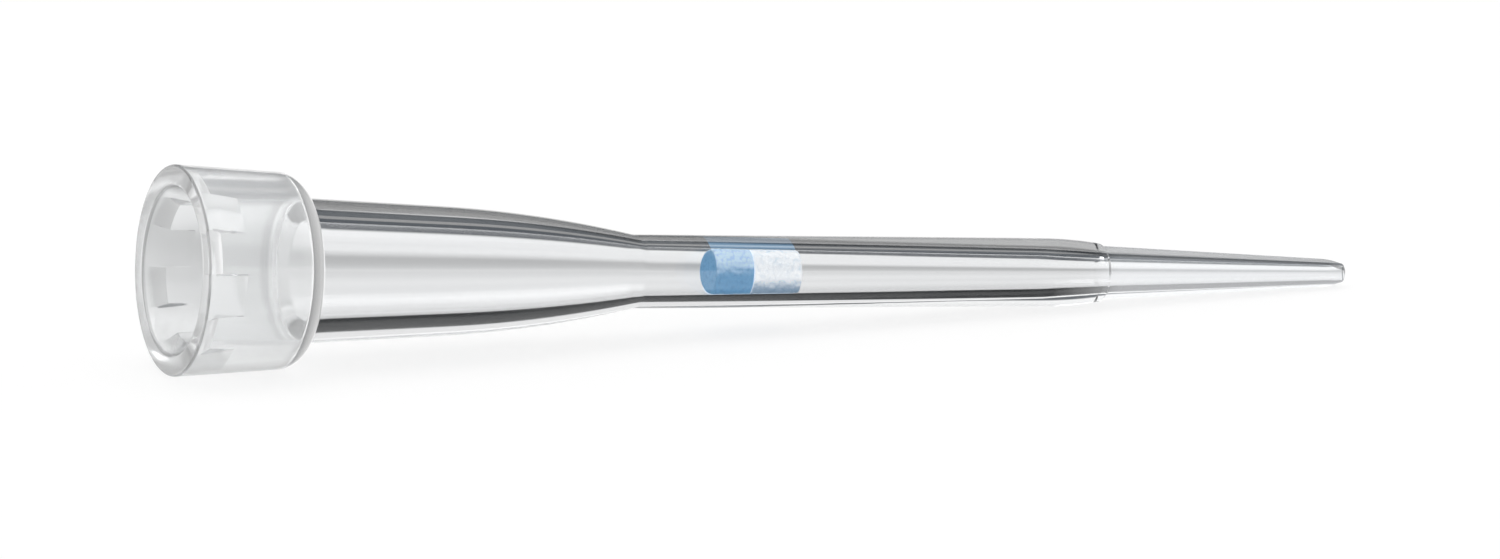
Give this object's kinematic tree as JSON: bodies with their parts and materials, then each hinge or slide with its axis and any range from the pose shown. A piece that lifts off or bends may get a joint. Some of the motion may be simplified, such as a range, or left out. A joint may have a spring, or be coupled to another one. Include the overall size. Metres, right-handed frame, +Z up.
{
  "type": "filter pipette tip",
  "caption": "Short clear pipette tip lying on its side, with a ribbed press-on collar, a body tapering to a stepped fine point, and a two-layer porous filter plug in its bore.",
  "frame": {"origin": "bottom centre of the tip's box, on the surface that it lies on", "axes": "+X along the tip from its collar to its outlet, +Z up from the surface it lies on"},
  "size_m": [0.0342, 0.0056, 0.0057],
  "materials": {
    "clear_plastic": "clear moulded polypropylene, slightly milky at the collar",
    "blue_filter": "matt sintered porous plastic",
    "white_filter": "matt sintered porous plastic"
  },
  "bodies": {
    "root": {"tip_body": "clear_plastic", "filter_blue": "blue_filter", "filter_white": "white_filter"}
  },
  "joints": []
}
